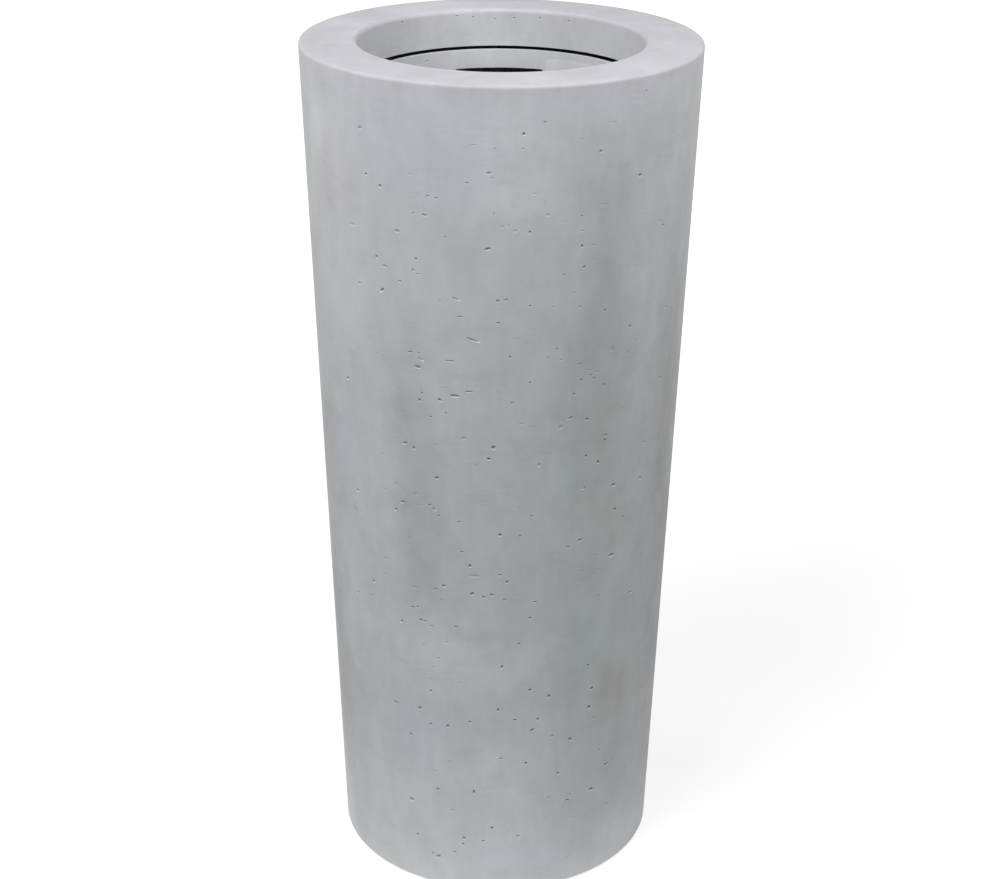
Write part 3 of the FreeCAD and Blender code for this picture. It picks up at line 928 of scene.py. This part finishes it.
class Recipe(Nodes):
    """A material's node tree, over the piece's own coordinates."""

    def __init__(self, name, roughness, specular):
        self.material = bpy.data.materials.new(name)
        self.material.use_nodes = True
        super().__init__(self.material.node_tree)
        self.shader = self.tree.nodes["Principled BSDF"].inputs
        self.feed(self.shader["Roughness"], roughness)
        self.feed(self.shader["Specular IOR Level"], specular)
        self.place = self.add("TexCoord").outputs["Object"]

    def stretched(self, across, along, shift=0.0):
        """The piece's own coordinates, scaled across and along its axis."""
        scale, location = (across, across, along), (shift, shift, shift)
        return self.add("Mapping", {"Vector": self.place, "Scale": scale, "Location": location}).outputs[0]

    def noise(self, vector, detail, roughness, scale=1.0):
        """A node of soft noise over the given coordinates."""
        inputs = {"Vector": vector, "Scale": scale, "Detail": detail, "Roughness": roughness}
        return self.add("TexNoise", inputs)

    def clouds(self, across, along, detail, roughness, shift=0.0):
        """Soft noise of about 0 to 1, this many times to the metre across and along the piece's axis."""
        return self.noise(self.stretched(across, along, shift), detail, roughness).outputs["Fac"]

    def cells(self, across, along, shift=0.0):
        """The distance to the nearest of many scattered points, this many to the metre."""
        inputs = {"Vector": self.stretched(across, along, shift), "Scale": 1.0}
        return self.add("TexVoronoi", inputs).outputs["Distance"]

    def drifting(self, scale, detail, roughness, reach):
        """The piece's own coordinates, pushed about by soft noise."""
        push = self.noise(self.place, detail, roughness, scale).outputs["Color"]
        push = self.vector_math("SUBTRACT", push, (0.5, 0.5, 0.5))
        push = self.vector_math("MULTIPLY", push, (2 * reach, 2 * reach, 2 * reach))
        return self.vector_math("ADD", self.place, push)

    def zone(self, place, centre, half_width, half_height):
        """A soft zone round a centre: one in its middle, and nothing past its half width and half height."""
        away = self.vector_math("SUBTRACT", place, centre)
        away = self.vector_math("MULTIPLY", away, (1 / half_width, 1 / half_width, 1 / half_height))
        return self.ranged(self.vector_math("LENGTH", away), 1.0, ZONE_CORE)

    def mixed(self, share, first, second, kind="MIX"):
        """Two colours mixed by a share."""
        inputs = {0: share, 6: first, 7: second}
        return self.add("Mix", inputs, data_type="RGBA", blend_type=kind).outputs[2]

    def bump(self, height, distance):
        """Fine relief of a given depth on the surface."""
        relief = self.add("Bump", {"Height": height, "Distance": distance})
        self.feed(self.shader["Normal"], relief.outputs["Normal"])

    def colour(self, colour):
        """The colour of the surface."""
        self.feed(self.shader["Base Color"], colour)


# Large soft zones, read from the photograph, that are partly painted light and shade, such as the lighter
# foot and top edges and the darker sides, and partly the finish's own mottling: x and y in pixels, half width
# and half height in millimetres, and how much lighter or darker the zone is.
LIGHT_AND_TONE_ZONES = (
    (408, 480, 45, 240, 0.89), (410, 402, 32, 34, 0.93), (428, 560, 24, 32, 0.94),
    (606, 370, 52, 330, 0.87), (610, 285, 36, 44, 0.94), (572, 420, 50, 120, 0.95), (610, 690, 34, 70, 0.91),
    (475, 632, 62, 15, 0.93), (440, 520, 90, 60, 0.97),
    (537, 192, 58, 42, 1.09), (500, 143, 16, 16, 1.05), (432, 300, 40, 70, 1.04), (468, 340, 30, 70, 1.03),
    (470, 820, 190, 190, 1.10), (515, 775, 62, 80, 1.06), (620, 830, 56, 50, 1.11), (540, 115, 110, 60, 1.07),
    (480, 155, 120, 90, 1.09), (455, 655, 110, 80, 1.12), (348, 790, 50, 100, 1.14), (640, 85, 70, 50, 1.10),
    (335, 500, 45, 380, 0.90), (342, 650, 45, 160, 0.91),
    (667, 400, 45, 400, 0.87), (655, 600, 40, 150, 0.93),
    (312, 110, 50, 60, 1.09),
)
# Painted light: lighter soft zones on the collar's far inside, in the same terms.
MOUTH_LIGHT_ZONES = ((450, 40, 110, 90, 1.18), (520, 40, 90, 90, 1.06), (374, 35, 60, 50, 1.10))

# The hues of the finish, as shares of red, green and blue, and the soft zones where they show.
HUE_PLAIN = (0.973, 1.0, 1.026)
HUE_VIOLET = (1.000, 0.994, 1.056)
HUE_BLUE = (0.976, 1.0, 1.060)
HUE_TEAL = (0.940, 1.006, 1.018)
HUE_OLIVE = (0.978, 1.0, 0.978)
HUE_ZONES = (
    (420, 150, 200, 170, HUE_BLUE), (610, 100, 160, 60, HUE_BLUE), (340, 430, 60, 420, HUE_BLUE),
    (415, 740, 90, 160, HUE_BLUE), (520, 860, 170, 50, HUE_BLUE),
    (335, 170, 30, 90, HUE_VIOLET), (572, 480, 45, 90, HUE_TEAL), (590, 640, 70, 150, HUE_TEAL),
    (652, 420, 25, 90, HUE_TEAL), (602, 480, 18, 110, HUE_OLIVE), (612, 690, 30, 70, HUE_OLIVE),
    (668, 420, 30, 170, HUE_OLIVE),
)


# How much each layer of the finish counts in its tone and in its relief, and how much the painted shade in
# pits and pinholes darkens it at most. The hue of the rim begins and is full this far below the top.
CLOUDS_IN_TONE = 0.50
STROKES_IN_TONE = 0.34
GRAIN_IN_TONE = 0.16
SMEARS_IN_TONE = -0.10
GRAIN_IN_RELIEF = 0.35
SMEARS_IN_RELIEF = 0.5
PINHOLES_IN_RELIEF = -0.8
PIT_DARKENING = 0.7
PINHOLE_DARKENING = 0.25
RIM_HUE_DROPS = (22 * MM, 4 * MM)


def zone_share(recipe, drifting, zone, radius_at, far):
    """The soft zone of a row of the lists above, whose half width and half height are in millimetres."""
    pixel_x, pixel_y, half_width, half_height, _ = zone
    centre = place_at_pixel(pixel_x, pixel_y, radius_at, far)
    return recipe.zone(drifting, centre, half_width * MM, half_height * MM)


def hue_of_cement(recipe, drifting):
    """The hue of the finish, which differs by zones of the wall and on the rim."""
    hue = HUE_PLAIN
    for zone in HUE_ZONES:
        hue = recipe.mixed(zone_share(recipe, drifting, zone, wall_radius, far=False), hue, zone[-1])
    height = recipe.add("SeparateXYZ", {"Vector": recipe.place}).outputs["Z"]
    on_top = recipe.ranged(height, *(SHELL["top"] - drop for drop in RIM_HUE_DROPS))
    return recipe.mixed(on_top, hue, HUE_VIOLET)


def cement_material(name):
    """Cement-look gelcoat: clouds, short strokes, thin dark smears, grain and pinholes over soft zones, with
    painted light and shade in the zones, painted shade in pits and pinholes, and painted highlights on pits'
    lower lips.
    """
    recipe = Recipe(name, roughness=0.7, specular=0.12)
    clouds = recipe.clouds(16, 10, detail=6, roughness=0.62)
    strokes = recipe.clouds(62, 24, detail=4, roughness=0.6, shift=3.1)
    smears = recipe.clouds(38, 260, detail=3, roughness=0.65, shift=7.7)
    smeared = recipe.ranged(recipe.clouds(22, 34, detail=3, roughness=0.5, shift=5.3), low=0.48, high=0.66)
    dark_smears = recipe.math("MULTIPLY", smeared, recipe.ranged(smears, low=0.62, high=0.44))
    grain = recipe.clouds(560, 560, detail=3, roughness=0.6, shift=1.3)
    tone = recipe.weighed((clouds, CLOUDS_IN_TONE), (strokes, STROKES_IN_TONE), (grain, GRAIN_IN_TONE),
                          (dark_smears, SMEARS_IN_TONE))
    colour = recipe.mixed(recipe.ranged(tone, low=0.30, high=0.70), CEMENT_DARK, CEMENT_LIGHT)
    drifting = recipe.drifting(scale=9, detail=5, roughness=0.6, reach=55 * MM)
    colour = recipe.mixed(1.0, colour, hue_of_cement(recipe, drifting), "MULTIPLY")
    # Painted light and shade, partly the finish's own mottling: the wall's zones and the lighter zones in the
    # mouth scale the colour.
    for zones, radius_at, far in ((LIGHT_AND_TONE_ZONES, wall_radius, False), (MOUTH_LIGHT_ZONES, collar_radius, True)):
        for zone in zones:
            share = zone_share(recipe, drifting, zone, radius_at, far)
            gain = recipe.mixed(share, WHITE, (zone[-1], zone[-1], zone[-1]))
            colour = recipe.mixed(1.0, colour, gain, "MULTIPLY")
    pit = recipe.add("Attribute", attribute_name="pit").outputs["Fac"]
    pinholes = recipe.ranged(recipe.cells(150, 170), low=0.13, high=0.05)
    # Painted shade in the pits, lighter on their lower sides, and painted highlights on their lower lips; the
    # same pale colour makes the raised patch paler.
    colour = recipe.mixed(recipe.ranged(pit, 0.0, 1.0, to_high=PIT_DARKENING), colour, PIT_SHADE)
    colour = recipe.mixed(recipe.ranged(pit, 0.0, -1.0), colour, LIP_HIGHLIGHT_AND_PATCH_PALE)
    # Painted shade in the pinholes.
    colour = recipe.mixed(recipe.math("MULTIPLY", pinholes, PINHOLE_DARKENING), colour, PIT_SHADE)
    recipe.colour(colour)
    relief = recipe.weighed((grain, GRAIN_IN_RELIEF), (smears, SMEARS_IN_RELIEF),
                            (pinholes, PINHOLES_IN_RELIEF))
    recipe.bump(relief, distance=0.25 * MM)
    return recipe.material


def laminate_material(name):
    """The rough back of the laminate: dark resin over matted fibres."""
    recipe = Recipe(name, roughness=0.55, specular=0.4)
    patches = recipe.clouds(14, 14, detail=4, roughness=0.6)
    weave = recipe.math("MULTIPLY", recipe.cells(240, 60), recipe.cells(70, 260, shift=2.0))
    share = recipe.ranged(recipe.weighed((patches, 0.6), (weave, 0.8)), low=0.3, high=0.75)
    recipe.colour(recipe.mixed(share, LAMINATE_DARK, LAMINATE_LIGHT))
    recipe.bump(weave, distance=0.5 * MM)
    return recipe.material


def rubber_material(name):
    """Moulded black rubber with a fine matt grain and a little dust."""
    recipe = Recipe(name, roughness=0.75, specular=0.3)
    dust = recipe.clouds(40, 40, detail=4, roughness=0.6)
    share = recipe.ranged(dust, low=0.4, high=0.8, to_high=0.35)
    recipe.colour(recipe.mixed(share, RUBBER_BLACK, RUBBER_DUST))
    recipe.bump(recipe.clouds(900, 900, detail=3, roughness=0.6), distance=0.08 * MM)
    return recipe.material


def finish_cad_nodes(laminate, rubber):
    """Give the carried-over solids their materials."""
    finishes = {"base_plate": laminate, "insert_shelf": laminate, "shelf_gussets": laminate,
                "foot_pads": rubber, "insert_plug": rubber, "base_plug": rubber}
    for node, material in finishes.items():
        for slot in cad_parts[node].material_slots:
            slot.material = material


# ---- floor, light and background

def floor_material(name):
    """Pale and matt, with a low glow round the foot, and nearly white to the camera."""
    recipe = Recipe(name, roughness=0.9, specular=0.1)
    recipe.colour(FLOOR_PALE)
    distance = recipe.vector_math("LENGTH", recipe.place)
    glow = recipe.ranged(distance, *FLOOR_GLOW_SPAN, *FLOOR_GLOW)
    white = recipe.ranged(distance, *FLOOR_WHITE_SPAN, *FLOOR_WHITE)
    white = recipe.math("MULTIPLY", recipe.seen_directly(), white)
    recipe.feed(recipe.shader["Emission Color"], WHITE)
    recipe.feed(recipe.shader["Emission Strength"], recipe.math("MAXIMUM", glow, white))
    return recipe.material


def make_floor(material):
    """A plain round floor, which shows the soft shadow."""
    mesh = bmesh.new()
    bmesh.ops.create_circle(mesh, cap_ends=True, segments=FLOOR_SIDES, radius=FLOOR_RADIUS)
    data = bpy.data.meshes.new("floor")
    mesh.to_mesh(data)
    mesh.free()
    data.materials.append(material)
    floor = bpy.data.objects.new("floor", data)
    bpy.context.scene.collection.objects.link(floor)


def make_world():
    """Even soft light from all round, with a white background to the camera."""
    world = bpy.data.worlds.new("studio")
    bpy.context.scene.world = world
    world.use_nodes = True
    nodes = Nodes(world.node_tree)
    background = nodes.tree.nodes["Background"].inputs
    nodes.feed(background["Strength"], nodes.math("MAXIMUM", WORLD_EVEN, nodes.seen_directly()))
    nodes.feed(background["Color"], WHITE)


def make_lamp(name, place, target, size, power):
    """A square soft lamp that faces a target."""
    data = bpy.data.lights.new(name, "AREA")
    data.shape = "SQUARE"
    data.size = size
    data.energy = power
    lamp = bpy.data.objects.new(name, data)
    lamp.visible_camera = False
    direction = Vector(target) - Vector(place)
    lamp.matrix_world = Matrix.Translation(place) @ direction.to_track_quat("-Z", "Y").to_matrix().to_4x4()
    bpy.context.scene.collection.objects.link(lamp)


# ---- the scene

make_camera()
gelcoat = cement_material("cement_finish")
laminate = laminate_material("laminate_back")
rubber = rubber_material("black_rubber")
make_shell(gelcoat, laminate)
make_insert(gelcoat)
finish_cad_nodes(laminate, rubber)
make_floor(floor_material("floor_white"))
make_world()
for lamp in LAMPS:
    make_lamp(*lamp)
bpy.context.scene.view_settings.view_transform = "Standard"
